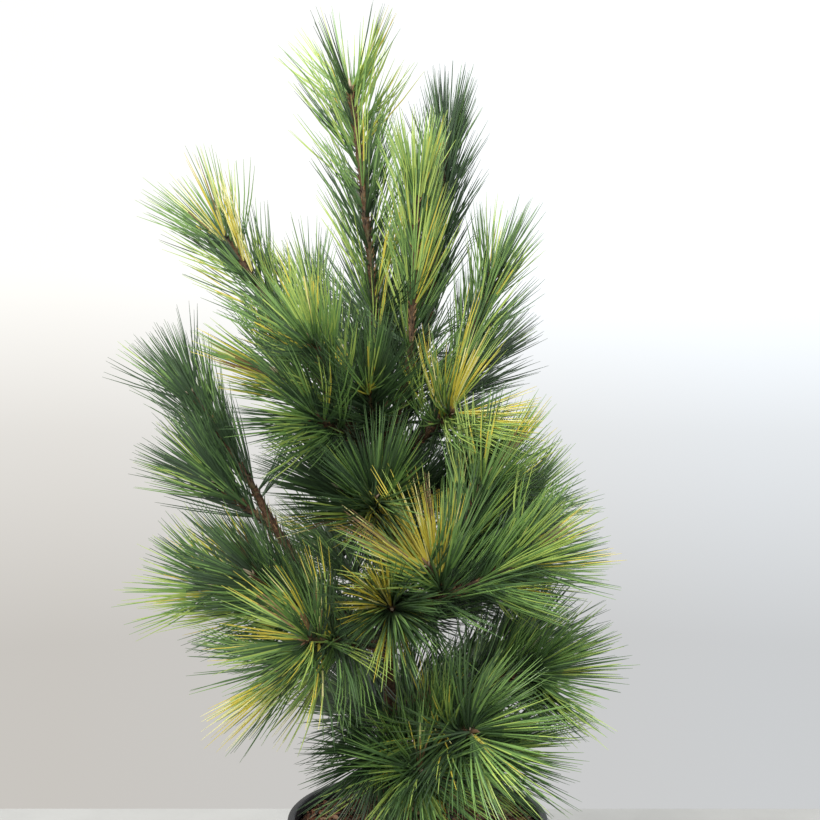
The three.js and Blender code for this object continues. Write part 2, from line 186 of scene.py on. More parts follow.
def turned(profile, sides):
    """A closed shape turned round the Z axis from a profile that starts and ends on it."""
    shape = bmesh.new()
    points = [shape.verts.new(point) for point in profile]
    edges = [shape.edges.new(pair) for pair in zip(points, points[1:])]
    turn = {"cent": (0, 0, 0), "axis": (0, 0, 1), "angle": math.tau, "steps": sides}
    bmesh.ops.spin(shape, geom=points + edges, use_merge=True, **turn)
    bmesh.ops.remove_doubles(shape, verts=shape.verts, dist=0.01 * MM)
    bmesh.ops.recalc_face_normals(shape, faces=shape.faces)
    return shape


def pot_radius_at(height):
    """The outer radius of the tapered wall at a height."""
    return lerp(FOOT_RADIUS, RIM_RADIUS - LIP_STEP - BAND_STEP, height / POT_HEIGHT)


def placed(name, data):
    """A new object of the scene at the origin, made of a mesh, a lamp or a camera."""
    piece = bpy.data.objects.new(name, data)
    bpy.context.scene.collection.objects.link(piece)
    return piece


def object_of(shape, name, smooth=True):
    """A mesh in the making as an object of the scene."""
    mesh = bpy.data.meshes.new(name)
    shape.to_mesh(mesh)
    shape.free()
    if smooth:
        mesh.shade_smooth()
    else:
        mesh.shade_flat()
    return placed(name, mesh)


def settled(piece, name):
    """The object as its modifiers leave it, as a plain mesh under a new name."""
    evaluated = piece.evaluated_get(bpy.context.evaluated_depsgraph_get())
    mesh = bpy.data.meshes.new_from_object(evaluated)
    mesh.name = name
    done = placed(name, mesh)
    bpy.data.objects.remove(piece)
    return done


def pot_wall():
    """The wall and floor, turned from one profile that starts at the middle of the underside."""
    band, lip = POT_HEIGHT - BAND_HEIGHT, POT_HEIGHT - LIP_HEIGHT
    under_band = pot_radius_at(band)
    mouth = pot_radius_at(POT_HEIGHT) - WALL
    corners = [
        (0, FLOOR_LIFT, 0),
        (FOOT_RADIUS - 9 * MM, FLOOR_LIFT, 0.6 * MM),
        (FOOT_RADIUS - 7.5 * MM, 0, 0.8 * MM),
        (FOOT_RADIUS, 0, 1.4 * MM),
        (pot_radius_at(30 * MM), 30 * MM, 0),
        (pot_radius_at(30 * MM) + RING_STEP, 31 * MM, 0),
        (pot_radius_at(33 * MM) + RING_STEP, 33 * MM, 0),
        (pot_radius_at(34 * MM), 34 * MM, 0),
        (under_band, band, 1.2 * MM),
        (under_band + BAND_STEP, band + BAND_STEP, 1.2 * MM),
        (RIM_RADIUS - LIP_STEP, lip, 0.8 * MM),
        (RIM_RADIUS, lip, 1.2 * MM),
        (RIM_RADIUS, POT_HEIGHT, 1.6 * MM),
        (mouth, POT_HEIGHT, 1.2 * MM),
        (pot_radius_at(band) - WALL, band, 0),
        (FOOT_RADIUS - WALL, WALL + FLOOR_LIFT, 2 * MM),
        (0, WALL + FLOOR_LIFT, 0),
    ]
    return object_of(turned(rounded(corners), POT_SIDES), "pot_wall")


def drain_slots():
    """The cutters of the drain slots, each a bar with round ends that points to the middle."""
    shape = bmesh.new()
    half = (DRAIN_LENGTH - DRAIN_WIDTH) / 2
    for i in range(DRAIN_SLOTS):
        turn = Matrix.Rotation(math.tau * i / DRAIN_SLOTS, 4, "Z")
        rim = []
        for step in range(DRAIN_SIDES):
            angle = math.tau * (step + 0.5) / DRAIN_SIDES
            end = half if math.cos(angle) > 0 else -half
            x = DRAIN_RADIUS + end + DRAIN_WIDTH / 2 * math.cos(angle)
            rim.append(turn @ Vector((x, DRAIN_WIDTH / 2 * math.sin(angle), CUTTER_FOOT)))
        face = shape.faces.new([shape.verts.new(point) for point in rim])
        raised = bmesh.ops.extrude_face_region(shape, geom=[face])["geom"]
        tops = [part for part in raised if isinstance(part, bmesh.types.BMVert)]
        bmesh.ops.translate(shape, verts=tops, vec=(0, 0, CUTTER_HEIGHT))
    bmesh.ops.recalc_face_normals(shape, faces=shape.faces)
    return object_of(shape, "drain_slots")


def pot_plastic():
    """Satin black plastic with a fine grain, and dust on it that thickens towards the floor."""
    finish = Finish("black_plastic", Specular_IOR_Level=0.28)
    place = finish.place()
    height = place.add("ShaderNodeSeparateXYZ", inputs={0: place}).out("Z")
    dusting = finish.grain(26, 6) + (DUST_HEIGHT - height) * 3.0
    dust = finish.ramp(dusting, (0.52, (0, 0, 0)), (0.78, (1, 1, 1)))
    black, dusty = (0.006, 0.006, 0.007, 1), (0.034, 0.029, 0.024, 1)
    finish.vary("Base Color", finish.blend(dust, black, dusty))
    finish.vary("Roughness", 0.36 + 0.2 * finish.grain(70, 5))
    finish.bump(finish.grain(1400, 2), 0.08 * MM, 0.5)
    return finish.material


pot_blank = pot_wall()
slots = drain_slots()
cut = pot_blank.modifiers.new("drain", "BOOLEAN")
cut.object, cut.solver = slots, "EXACT"
pot = settled(pot_blank, "nursery_pot")
bpy.data.objects.remove(slots)
pot.data.materials.append(pot_plastic())
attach(pot, "root")
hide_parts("pot")


# Compost
# Bark compost, packed to just under the pot's lip: a dark crumbly bed under a loose mulch of
# bark chips and fibres that lie as they fell, clear of the trunk's foot.

COMPOST_TOP = 184 * MM
COMPOST_FALL = 4 * MM
COMPOST_LEVEL_RADIUS = 36 * MM
TRUNK_FOOT = Vector((-13, 4, 184.3)) * MM
TRUNK_CLEARANCE = 13 * MM
WALL_CLEARANCE = 6 * MM
# Each kind of litter: how many, the sides of its outline, its size, and how far it tilts.
LITTER = {
    "chip": (1500, 6, (10 * MM, 5 * MM, 1.4 * MM), 0.28),
    "fibre": (900, 4, (17 * MM, 1.1 * MM, 0.7 * MM), 0.2),
}
CHIP_SHARES = (30, 36, 22, 12)
CHIP_COLOURS = {
    "bark_dark": (0.028, 0.014, 0.009),
    "bark_brown": (0.135, 0.060, 0.031),
    "bark_red": (0.24, 0.100, 0.050),
    "bark_pale": (0.40, 0.235, 0.14),
}


def compost_bed():
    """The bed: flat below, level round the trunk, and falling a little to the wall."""
    edge = COMPOST_TOP - COMPOST_FALL
    inside = pot_radius_at(edge) - WALL - 0.4 * MM
    floor = WALL + 1.6 * MM
    profile = [Vector((0, 0, floor)), Vector((pot_radius_at(floor) - WALL - 3 * MM, 0, floor))]
    profile.append(Vector((pot_radius_at(floor) - WALL - 0.6 * MM, 0, floor + 3 * MM)))
    steps = 44
    for i in range(steps + 1):
        radius = inside * (1 - i / steps)
        fall = max(0, radius - COMPOST_LEVEL_RADIUS) / (inside - COMPOST_LEVEL_RADIUS)
        profile.append(Vector((radius, 0, COMPOST_TOP - COMPOST_FALL * fall)))
    shape = turned(profile, 120)
    for point in shape.verts:
        if point.co.z > edge - 1 * MM and point.co.xy.length < inside - 0.5 * MM:
            point.co.z += 1.3 * MM * noise.fractal(point.co * 90, 1.0, 2.1, 4)
    return object_of(shape, "compost_bed")


def plain(name, colour, roughness):
    """A material of one even colour."""
    return Finish(name, Base_Color=(*colour, 1), Roughness=roughness).material


def crumbly_earth():
    finish = Finish("crumbly_earth", Roughness=0.95, Specular_IOR_Level=0.2)
    dark, brown, red = (0.018, 0.010, 0.007), (0.08, 0.038, 0.022), (0.17, 0.075, 0.039)
    tone = finish.ramp(finish.grain(240, 8, 0.7), (0.36, dark), (0.52, brown), (0.68, red))
    finish.vary("Base Color", tone)
    finish.bump(finish.grain(520, 8, 0.75), 1.2 * MM, 0.9)
    return finish.material


def flake(name, length, width, thickness, sides):
    """A splinter of bark of the given size, pointing along Z, with uneven edges."""
    shape = bmesh.new()
    dice = random.Random(name)
    rim = []
    for i in range(sides):
        angle = math.tau * (i + 0.4 * dice.random()) / sides
        reach = 0.5 * dice.uniform(0.75, 1.0)
        rim.append((width * reach * math.cos(angle), 0, length * reach * math.sin(angle)))
    low = [shape.verts.new((x, -thickness / 2, z)) for x, _, z in rim]
    high = [shape.verts.new((0.8 * x, thickness / 2, 0.85 * z)) for x, _, z in rim]
    shape.faces.new(low)
    shape.faces.new(high)
    for i in range(sides):
        j = (i + 1) % sides
        shape.faces.new((low[i], low[j], high[j], high[i]))
    bmesh.ops.recalc_face_normals(shape, faces=shape.faces)
    return object_of(shape, name, smooth=False)


def points_with(name, points):
    """Loose points as an object. A point is a dictionary with its place, and values of its own
    that Geometry Nodes read by name: a vector or a number each."""
    mesh = bpy.data.meshes.new(name)
    mesh.from_pydata([point["place"] for point in points], [], [])
    for key, value in points[0].items():
        if key == "place":
            continue
        if isinstance(value, float):
            kind, store = "FLOAT", "value"
            flat = [point[key] for point in points]
        else:
            kind, store = "FLOAT_VECTOR", "vector"
            flat = [number for point in points for number in point[key]]
        mesh.attributes.new(key, kind, "POINT").data.foreach_set(store, flat)
    return placed(name, mesh)


def new_tree(name, **sizes):
    """A Geometry Nodes tree with a named input for each size, and its input and output nodes."""
    tree = bpy.data.node_groups.new(name, "GeometryNodeTree")
    tree.interface.new_socket("Geometry", in_out="INPUT", socket_type="NodeSocketGeometry")
    tree.interface.new_socket("Geometry", in_out="OUTPUT", socket_type="NodeSocketGeometry")
    for size, kind in sizes.items():
        tree.interface.new_socket(size, in_out="INPUT", socket_type="NodeSocket" + kind)
    return tree, Wire(tree).add("NodeGroupInput")


def read(given, name, kind="FLOAT"):
    """The value that each point carries under a name."""
    return given.add("GeometryNodeInputNamedAttribute", {"data_type": kind}, {"Name": name})


def painted(geometry, shade, materials):
    """Gives each face the material whose number is its shade, a wire of whole numbers."""
    for number, material in enumerate(materials):
        values = {"Geometry": geometry, "Material": material}
        if number:
            settings = {"data_type": "INT", "operation": "EQUAL"}
            sides = {"A": shade, "B": number}
            values["Selection"] = geometry.add("FunctionNodeCompare", settings, sides)
        geometry = geometry.add("GeometryNodeSetMaterial", inputs=values)
    return geometry


def strewing(materials):
    """A tree that sets a shape on each point: turned to face its way, sized, and painted."""
    tree, given = new_tree("Strew", Shape="Object", Seed="Int")
    way = {"Vector": read(given, "way", "FLOAT_VECTOR")}
    facing = given.add("FunctionNodeAlignRotationToVector", {"axis": "Z"}, way)
    dice = {"Min": 0.0, "Max": math.tau, "Seed": given.out("Seed")}
    roll = given.add("FunctionNodeRandomValue", {"data_type": "FLOAT"}, dice)
    spin = given.add("FunctionNodeAxisAngleToRotation", inputs={"Axis": (0, 0, 1), "Angle": roll})
    turn = {"Rotation": facing, "Rotate By": spin}
    turned_to = given.add("FunctionNodeRotateRotation", {"rotation_space": "LOCAL"}, turn)
    shape = given.add("GeometryNodeObjectInfo", inputs={"Object": given.out("Shape")})
    placing = {
        "Points": given,
        "Instance": shape.out("Geometry"),
        "Rotation": turned_to,
        "Scale": read(given, "size", "FLOAT_VECTOR"),
    }
    copies = given.add("GeometryNodeInstanceOnPoints", inputs=placing)
    real = copies.add("GeometryNodeRealizeInstances", inputs={"Geometry": copies})
    done = painted(real, real.maths("ROUND", read(given, "shade")), materials)
    done.add("NodeGroupOutput", inputs={"Geometry": done})
    return tree


def grown(points, name, tree, **values):
    """The plain mesh that a tree makes of a set of points. Values are the tree's named inputs."""
    modifier = points.modifiers.new("grow", "NODES")
    modifier.node_group = tree
    for item in tree.interface.items_tree:
        if item.in_out == "INPUT" and item.name in values:
            modifier[item.identifier] = values[item.name]
    return settled(points, name)


def strewn(name, shape, points, colours, seed):
    """Copies of a small shape, one on each point, as a single piece."""
    shape.data.materials.append(colours[0])
    cloud = points_with(name + "_places", points)
    piece = grown(cloud, name, strewing(colours), Shape=shape, Seed=seed)
    bpy.data.objects.remove(shape)
    return piece


def joined(pieces, name):
    """Several objects as one, each keeping its own materials."""
    with bpy.context.temp_override(active_object=pieces[0], selected_editable_objects=pieces):
        bpy.ops.object.join()
    pieces[0].name = pieces[0].data.name = name
    return pieces[0]


def mulch():
    """Chips and fibres lying on the bed, each tilted a little and clear of the trunk and wall."""
    dice = random.Random(11)
    colours = [plain(name, colour, 0.85) for name, colour in CHIP_COLOURS.items()]
    parts = []
    for kind, (count, sides, measures, unrest) in LITTER.items():
        points = []
        while len(points) < count:
            radius = (pot_radius_at(COMPOST_TOP) - WALL_CLEARANCE) * math.sqrt(dice.random())
            angle = math.tau * dice.random()
            place = Vector((radius * math.cos(angle), radius * math.sin(angle), 0))
            if (place - TRUNK_FOOT).xy.length < TRUNK_CLEARANCE:
                continue
            fall = max(0, radius - COMPOST_LEVEL_RADIUS) / (RIM_RADIUS - COMPOST_LEVEL_RADIUS)
            place.z = COMPOST_TOP - COMPOST_FALL * fall + dice.uniform(0.2, 2.4) * MM
            heading = math.tau * dice.random()
            tilt = dice.gauss(0, unrest)
            way = Vector((math.cos(heading), math.sin(heading), tilt)).normalized()
            scale = dice.uniform(0.45, 1.15)
            size = (scale * dice.uniform(0.6, 1.2), dice.uniform(0.7, 1.3), scale)
            shade = dice.choices(range(4), CHIP_SHARES)[0]
            points.append({"place": place, "way": way, "size": size, "shade": float(shade)})
        parts.append(strewn(kind + "s", flake(kind, *measures, sides), points, colours, 3))
    return joined(parts, "bark_mulch")


bed = compost_bed()
bed.data.materials.append(crumbly_earth())
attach(bed, "root")
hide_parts("compost")
chips = mulch()
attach(chips, "root")
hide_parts("compost")


# Trunk and boughs
# The stem leans and tapers from its flared foot to the leading shoot. Boughs leave it in three
# whorls, nearly level at first and then rising, all in rough brown bark.

TRUNK_TOP = 620
TRUNK_LINE = [
    (-13, 4, 184.3),
    (-21, 2, 250),
    (-24, 0, 300),
    (-25, 0, 356),
    (-28, 2, 424),
    (-33, 4, 492),
    (-36, 5, 560),
    (-37, 4, TRUNK_TOP),
]
TRUNK_RADIUS = 5.6 * MM
TRUNK_TOP_RADIUS = 3.1 * MM
FLARE_RADIUS = 4 * MM
FLARE_HEIGHT = 14 * MM
TRUNK_STEPS = 24
TRUNK_SIDES = 40
BOUGH_SIDES = 20
BARK_SPACING = 1.3 * MM
LIMB_POINTS = 48
# A limb is bent most at a share of its length, a bough sets off with a share of its rise, and a
# shoot on a limb's end turns this strongly to its own tip.
BEND = 0.45
BOUGH_RISE = 0.45
TURNING = 1.5
# A limb's radii: at its foot, what each metre of its length adds to that, and the share left at
# its tip.
BOUGH_RADII = (2.8 * MM, 0.008, 0.8)


def share_of_trunk(height):
    """How far up the trunk a height in millimetres lies, from 0 to 1."""
    return (height - TRUNK_LINE[0][2]) / (TRUNK_TOP - TRUNK_LINE[0][2])


LOW = share_of_trunk(258)
MIDDLE = share_of_trunk(350)
UPPER = share_of_trunk(490)

# Each bough: the share of the trunk at which it leaves, its tip, and the share from which it
# still bears old needles.
BOUGHS = {
    "bough_second_leader": (UPPER + 0.02, (-6, -15, 590), 0.45),
    "bough_back_leader": (UPPER + 0.01, (6, 26, 590), 0.3),
    "bough_right": (UPPER, (16, -26, 521), 0.75),
    "bough_left_front": (UPPER - 0.01, (-62, -52, 545), 0.35),
    "bough_upper_left": (UPPER + 0.015, (-80, 8, 552), 0.3),
    "bough_far_left": (MIDDLE - 0.03, (-142, 22, 465), 0.93),
    "bough_left_rising": (MIDDLE + 0.01, (-84, -36, 370), 0.4),
    "bough_left_level": (MIDDLE - 0.02, (-90, -10, 358), 0.4),
    "bough_left_front_low": (MIDDLE - 0.03, (-54, -54, 348), 0.6),
    "bough_right_front": (MIDDLE, (17, -84, 392), 0.5),
    "bough_back_left": (MIDDLE + 0.03, (-56, 52, 380), 0.35),
    "bough_back": (MIDDLE, (-18, 56, 372), 0.35),
    "bough_right_low": (LOW + 0.02, (52, -17, 304), 0.55),
}


class Course:
    """A limb's middle line: close points along it, and how far along each stands."""

    def __init__(self, points, radius):
        self.points = points
        self.radius = radius
        self.distances = [0.0]
        for a, b in zip(points, points[1:]):
            self.distances.append(self.distances[-1] + (b - a).length)
        self.length = self.distances[-1]

    def at(self, share):
        """The place and direction at a share of the length."""
        distance = min(max(share, 0.0), 1.0) * self.length
        i = min(bisect.bisect_right(self.distances, distance), len(self.points) - 1)
        a, b = self.points[i - 1], self.points[i]
        along = (distance - self.distances[i - 1]) / (self.distances[i] - self.distances[i - 1])
        return a.lerp(b, along), (b - a).normalized()


def trunk_course():
    """A smooth line through the trunk's places, flared at its foot."""
    knots = [Vector(point) * MM for point in TRUNK_LINE]
    slopes = [
        (knots[min(i + 1, len(knots) - 1)] - knots[max(i - 1, 0)]) / 6 for i in range(len(knots))
    ]
    points = []
    for i in range(len(knots) - 1):
        pull_in, pull_out = knots[i] + slopes[i], knots[i + 1] - slopes[i + 1]
        points += interpolate_bezier(knots[i], pull_in, pull_out, knots[i + 1], TRUNK_STEPS)[:-1]
    points.append(knots[-1])

    def radius(share):
        flare = FLARE_RADIUS * math.exp(-share * (TRUNK_TOP * MM - TRUNK_FOOT.z) / FLARE_HEIGHT)
        return lerp(TRUNK_RADIUS, TRUNK_TOP_RADIUS, share) + flare

    return Course(points, radius)


def limb_course(parent, at, tip, rise, radii):
    """The line of a limb from its parent to its tip. A bough leaves nearly level and then rises,
    and a shoot on a limb's end first carries on in that limb's direction."""
    foot, heading = parent.at(at)
    end = Vector(tip) * MM
    lead = (end - foot).normalized()
    if at == 1:
        lead = lead * TURNING + heading
    else:
        lead.z *= rise
    bend = foot + lead.normalized() * BEND * (end - foot).length
    pull_in, pull_out = foot.lerp(bend, 2 / 3), end.lerp(bend, 2 / 3)
    points = interpolate_bezier(foot, pull_in, pull_out, end, LIMB_POINTS)
    course = Course(points, None)
    radius, gain, taper = radii
    stout = radius + gain * course.length
    course.radius = lambda share: lerp(stout, taper * stout, share)
    return course


def tube(shape, course, sides, spacing, relief):
    """Adds a closed tube along a course. Relief gives the bark's height at a share and an angle."""
    count = max(4, round(course.length / spacing))
    chord = course.points[-1] - course.points[0]
    reference = Vector((0, 0, 1)) if abs(chord.x) > abs(chord.z) else Vector((1, 0, 0))
    rings = []
    for row in range(count + 1):
        share = row / count
        centre, heading = course.at(share)
        across = reference.cross(heading).normalized()
        over = heading.cross(across)
        ring = []
        for side in range(sides):
            angle = math.tau * side / sides
            outward = across * math.cos(angle) + over * math.sin(angle)
            radius = course.radius(share)
            point = centre + outward * radius
            ring.append(shape.verts.new(point + outward * relief(point, share, angle)))
        rings.append(ring)
    for low, high in zip(rings, rings[1:]):
        for side in range(sides):
            after = (side + 1) % sides
            shape.faces.new((low[side], low[after], high[after], high[side]))
    shape.faces.new(list(reversed(rings[0])))
    shape.faces.new(rings[-1])


def furrowed(depth, stretch):
    """Bark relief: shallow furrows along the limb, and a rough scaly skin."""

    def relief(point, share, angle):
        along = Vector((2.6 * math.cos(angle), 2.6 * math.sin(angle), share * stretch))
        furrow = noise.fractal(along * 1.7, 1.0, 2.0, 3)
        skin = noise.fractal(point * 700, 0.9, 2.2, 3)
        return depth * (furrow + 0.6 * skin)

    return relief


def rough_bark():
    finish = Finish("rough_bark", Roughness=0.9, Specular_IOR_Level=0.25)
    dark, brown, grey = (0.016, 0.011, 0.008), (0.075, 0.040, 0.021), (0.14, 0.092, 0.055)
    tone = finish.ramp(finish.grain(330, 7, 0.7), (0.34, dark), (0.5, brown), (0.72, grey))
    moss = finish.ramp(finish.grain(60, 3), (0.56, (0, 0, 0)), (0.75, (1, 1, 1)))
    finish.vary("Base Color", finish.blend(moss, tone, (0.062, 0.052, 0.026, 1)))
    finish.bump(finish.grain(900, 6, 0.7), 0.5 * MM, 0.8)
    return finish.material


limbs = {"trunk": trunk_course()}
for name, (at, tip, _) in BOUGHS.items():
    limbs[name] = limb_course(limbs["trunk"], at, tip, BOUGH_RISE, BOUGH_RADII)

bark = rough_bark()
trunk_shape = bmesh.new()
tube(trunk_shape, limbs["trunk"], TRUNK_SIDES, BARK_SPACING, furrowed(0.35 * MM, 60))
trunk = object_of(trunk_shape, "trunk_bark")
trunk.data.materials.append(bark)
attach(trunk, "root")
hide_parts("trunk")

bough_shape = bmesh.new()
for name in BOUGHS:
    tube(bough_shape, limbs[name], BOUGH_SIDES, BARK_SPACING, furrowed(0.25 * MM, 30))
boughs = object_of(bough_shape, "bough_bark")
boughs.data.materials.append(bark)
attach(boughs, "root")
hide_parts(*BOUGHS)


# Shoots
# This year's and last year's growth: slim brown stems, rough with the bases of old leaves,
# each carrying on from a limb and ending in a cluster of pale resinous buds.

SHOOT_RADII = (3 * MM, 0, 0.85)
SHOOT_RISE = 0.8
SHOOT_SIDES = 9
SHOOT_SPACING = 2.2 * MM
BOUGH_BASE_SPACING = 1.1 * MM
SHOOT_BASE_SPACING = 0.8 * MM
LEAF_BASE = (1.9 * MM, 1.7 * MM, 5.2 * MM)
BUD = (2.9 * MM, 2.9 * MM, 10 * MM)
GOLDEN_ANGLE = math.radians(137.5)

# Each shoot: the limb it grows on and how far along, its tip, how far the needles open at its
# foot and round its bud, in degrees, and its mean shade on the palette of needle colours.
SHOOTS = {
    "leaders": {
        "leader": ("trunk", 1, (-57, -2, 808), 26, 34, 1.4),
        "second_leader": ("bough_second_leader", 1, (0, -20, 716), 17, 18, 2.5),
        "back_leader": ("bough_back_leader", 1, (26, 38, 768), 13, 11, 0.2),
    },
    "upper_whorl": {
        "right_gold": ("bough_right", 1, (28, -42, 533), 46, 40, 2.6),
        "right_upper": ("bough_right", 0.8, (66, 15, 650), 20, 20, 1.5),
        "left_front": ("bough_left_front", 1, (-83, -80, 588), 30, 24, 2),
        "left_front_side": ("bough_left_front", 0.5, (-84, -76, 530), 36, 24, 1.6),
        "upper_left": ("bough_upper_left", 1, (-166, 0, 682), 22, 28, 1.7),
        "upper_left_side": ("bough_upper_left", 0.6, (-118, -22, 566), 28, 22, 1.6),
        "back_left_upper": ("trunk", UPPER + 0.05, (-98, 58, 640), 18, 16, 0.8),
        "back_upper": ("trunk", UPPER + 0.07, (-30, 74, 620), 24, 20, 1.2),
        "back_right_upper": ("trunk", UPPER - 0.02, (56, 66, 578), 26, 20, 0.5),
        "upper_front": ("trunk", UPPER + 0.04, (-40, -60, 552), 34, 26, 0.5),
    },
    "inner_crown": {
        "inner_left": ("trunk", UPPER - 0.11, (-66, -30, 470), 26, 20, 0.3),
        "inner_front": ("trunk", MIDDLE + 0.18, (-34, -84, 466), 28, 26, 0.8),
        "inner_right": ("trunk", UPPER - 0.09, (38, -26, 474), 34, 26, 0.8),
        "inner_back": ("trunk", UPPER - 0.12, (-12, 80, 476), 34, 26, 0.9),
        "inner_left_back": ("trunk", UPPER - 0.08, (-64, 58, 500), 26, 20, 0.8),
    },
    "middle_left": {
        "far_left": ("bough_far_left", 1, (-197, 20, 550), 18, 20, 0.3),
        "far_left_side": ("bough_far_left", 0.78, (-172, 6, 474), 24, 22, 0.3),
        "left_rising": ("bough_left_rising", 1, (-132, -64, 404), 34, 26, 0.45),
        "left_level": ("bough_left_level", 1, (-168, -26, 388), 32, 26, 1.7),
        "left_front_low": ("bough_left_front_low", 1, (-86, -100, 360), 54, 42, 1.2),
        "left_under": ("bough_left_front_low", 0.55, (-108, -56, 326), 34, 26, 1.4),
        "left_back": ("trunk", MIDDLE - 0.06, (-135, 66, 388), 30, 24, 1.1),
    },
    "middle_right": {
        "centre_front": ("trunk", MIDDLE + 0.06, (-20, -105, 384), 22, 22, 0.9),
        "gold_tuft": ("bough_right_front", 1, (6, -104, 418), 34, 32, 1.6),
        "right_rising": ("bough_right_front", 0.8, (55, -56, 484), 28, 24, 1.8),
        "right_front": ("bough_right_front", 0.9, (83, -76, 417), 34, 30, 1.9),
        "right_side": ("trunk", MIDDLE + 0.08, (84, 2, 446), 30, 24, 1.3),
        "right_back": ("trunk", MIDDLE + 0.02, (92, 48, 410), 30, 24, 0.7),
    },
    "middle_back": {
        "back_left": ("bough_back_left", 1, (-84, 112, 412), 34, 28, 1.2),
        "back": ("bough_back", 1, (-14, 128, 408), 34, 30, 1.8),
        "back_right": ("trunk", MIDDLE - 0.03, (64, 110, 374), 34, 28, 1.1),
    },
    "low_whorl": {
        "right_low": ("bough_right_low", 1, (96, -50, 322), 36, 28, 1.4),
        "right_low_back": ("bough_right_low", 0.7, (96, 32, 332), 32, 26, 0.3),
        "front_right_low": ("trunk", LOW, (40, -118, 296), 60, 48, 1.3),
        "front_low": ("trunk", LOW - 0.05, (2, -104, 262), 50, 40, 1.4),
        "left_low": ("trunk", LOW + 0.03, (-44, 30, 272), 34, 28, 0.3),
        "left_low_front": ("trunk", LOW - 0.02, (-34, -56, 254), 38, 30, 0.6),
        "right_skirt": ("trunk", LOW - 0.03, (62, -58, 262), 38, 30, 1.3),
        "back_left_low": ("trunk", LOW, (-50, 84, 272), 34, 28, 1.2),
        "back_low": ("trunk", LOW - 0.04, (-6, 100, 272), 34, 28, 0.6),
        "back_right_low": ("trunk", LOW + 0.05, (58, 76, 292), 34, 28, 1.3),
    },
}


def knobbly(point, share, angle):
    """The uneven skin of a young stem, as relief for its tube."""
    return 0.22 * MM * noise.fractal(point * 800, 1.0, 2.0, 2)


def side_of(heading, angle):
    """The direction that stands out from a stem at an angle round it."""
    across = Vector((0.3, 0.2, 1)).cross(heading).normalized()
    return Matrix.Rotation(angle, 3, heading) @ across


def leaf_bases(course, start, spacing, dice):
    """Places of the old leaf bases up a limb, in a spiral, each leaning out and forward."""
    count = round(course.length * (1 - start) / spacing)
    places = []
    for i in range(count):
        share = lerp(start, 1, i / count)
        centre, heading = course.at(share)
        outward = side_of(heading, i * GOLDEN_ANGLE + dice.uniform(-0.2, 0.2))
        scale = dice.uniform(0.7, 1.2)
        places.append({
            "place": centre + outward * (course.radius(share) - 0.3 * MM),
            "way": (heading + outward * dice.uniform(0.4, 0.9)).normalized(),
            "size": [scale * side for side in LEAF_BASE],
            "shade": float(dice.choices(range(3), (4, 4, 2))[0]),
        })
    return places


def buds(course, dice):
    """A shoot's end bud and the smaller ones that stand round it."""
    centre, heading = course.at(1)
    clusters = [(centre - heading * 2 * MM, heading, 1.0)]
    for i in range(dice.choice((2, 3, 3, 4))):
        outward = side_of(heading, i * 2.1 + dice.random())
        way = (heading + outward * 0.6).normalized()
        clusters.append((centre - heading * 2.5 * MM + outward * 1.2 * MM, way, 0.62))
    places = []
    for place, way, scale in clusters:
        size = [scale * dice.uniform(0.9, 1.1) * side for side in BUD]
        shade = float(dice.choice((0, 1)))
        places.append({"place": place, "way": way, "size": size, "shade": shade})
    return places


def scale_shape():
    """A leaf base as a small pointed scale, one unit long."""
    shape = bmesh.new()
    bmesh.ops.create_cone(
        shape, cap_ends=True, segments=4, radius1=0.5, radius2=0.12, depth=1,
        matrix=Matrix.Translation((0, 0, 0.4)),
    )
    return object_of(shape, "leaf_base", smooth=False)


def bud_shape():
    """A bud as a pointed egg, one unit long, ridged by its overlapping scales."""
    shape = bmesh.new()
    outline = [(0, 0), (0.55, 0.08), (0.95, 0.3), (0.9, 0.5), (0.62, 0.75), (0.25, 0.94), (0, 1)]
    points = [Vector((0.5 * radius, 0, height)) for radius, height in outline]
    shape = turned(points, 9)
    for point in shape.verts:
        angle = math.atan2(point.co.y, point.co.x)
        ridge = 1 + 0.12 * math.sin(3 * angle + 14 * point.co.z)
        point.co.x *= ridge
        point.co.y *= ridge
    return object_of(shape, "bud")


def young_bark():
    finish = Finish("young_bark", Roughness=0.75, Specular_IOR_Level=0.35)
    dark, brown, green = (0.034, 0.022, 0.013), (0.115, 0.068, 0.036), (0.11, 0.105, 0.045)
    tone = finish.ramp(finish.grain(420, 6, 0.65), (0.36, dark), (0.60, brown))
    fresh = finish.ramp(finish.grain(45, 3), (0.50, (0, 0, 0)), (0.66, (1, 1, 1)))
    finish.vary("Base Color", finish.blend(fresh, tone, (*green, 1)))
    finish.bump(finish.grain(1100, 5, 0.7), 0.4 * MM, 0.7)
    return finish.material


shoot_dice = random.Random(23)
stem_shape = bmesh.new()
base_places, bud_places = [], []
for name in BOUGHS:
    base_places += leaf_bases(limbs[name], 0.1, BOUGH_BASE_SPACING, shoot_dice)
base_places += leaf_bases(limbs["trunk"], UPPER, SHOOT_BASE_SPACING, shoot_dice)
for tier in SHOOTS.values():
    for name, (on, at, tip, *_) in tier.items():
        limbs[name] = limb_course(limbs[on], at, tip, SHOOT_RISE, SHOOT_RADII)
        tube(stem_shape, limbs[name], SHOOT_SIDES, SHOOT_SPACING, knobbly)
        base_places += leaf_bases(limbs[name], 0.02, SHOOT_BASE_SPACING, shoot_dice)
        bud_places += buds(limbs[name], shoot_dice)

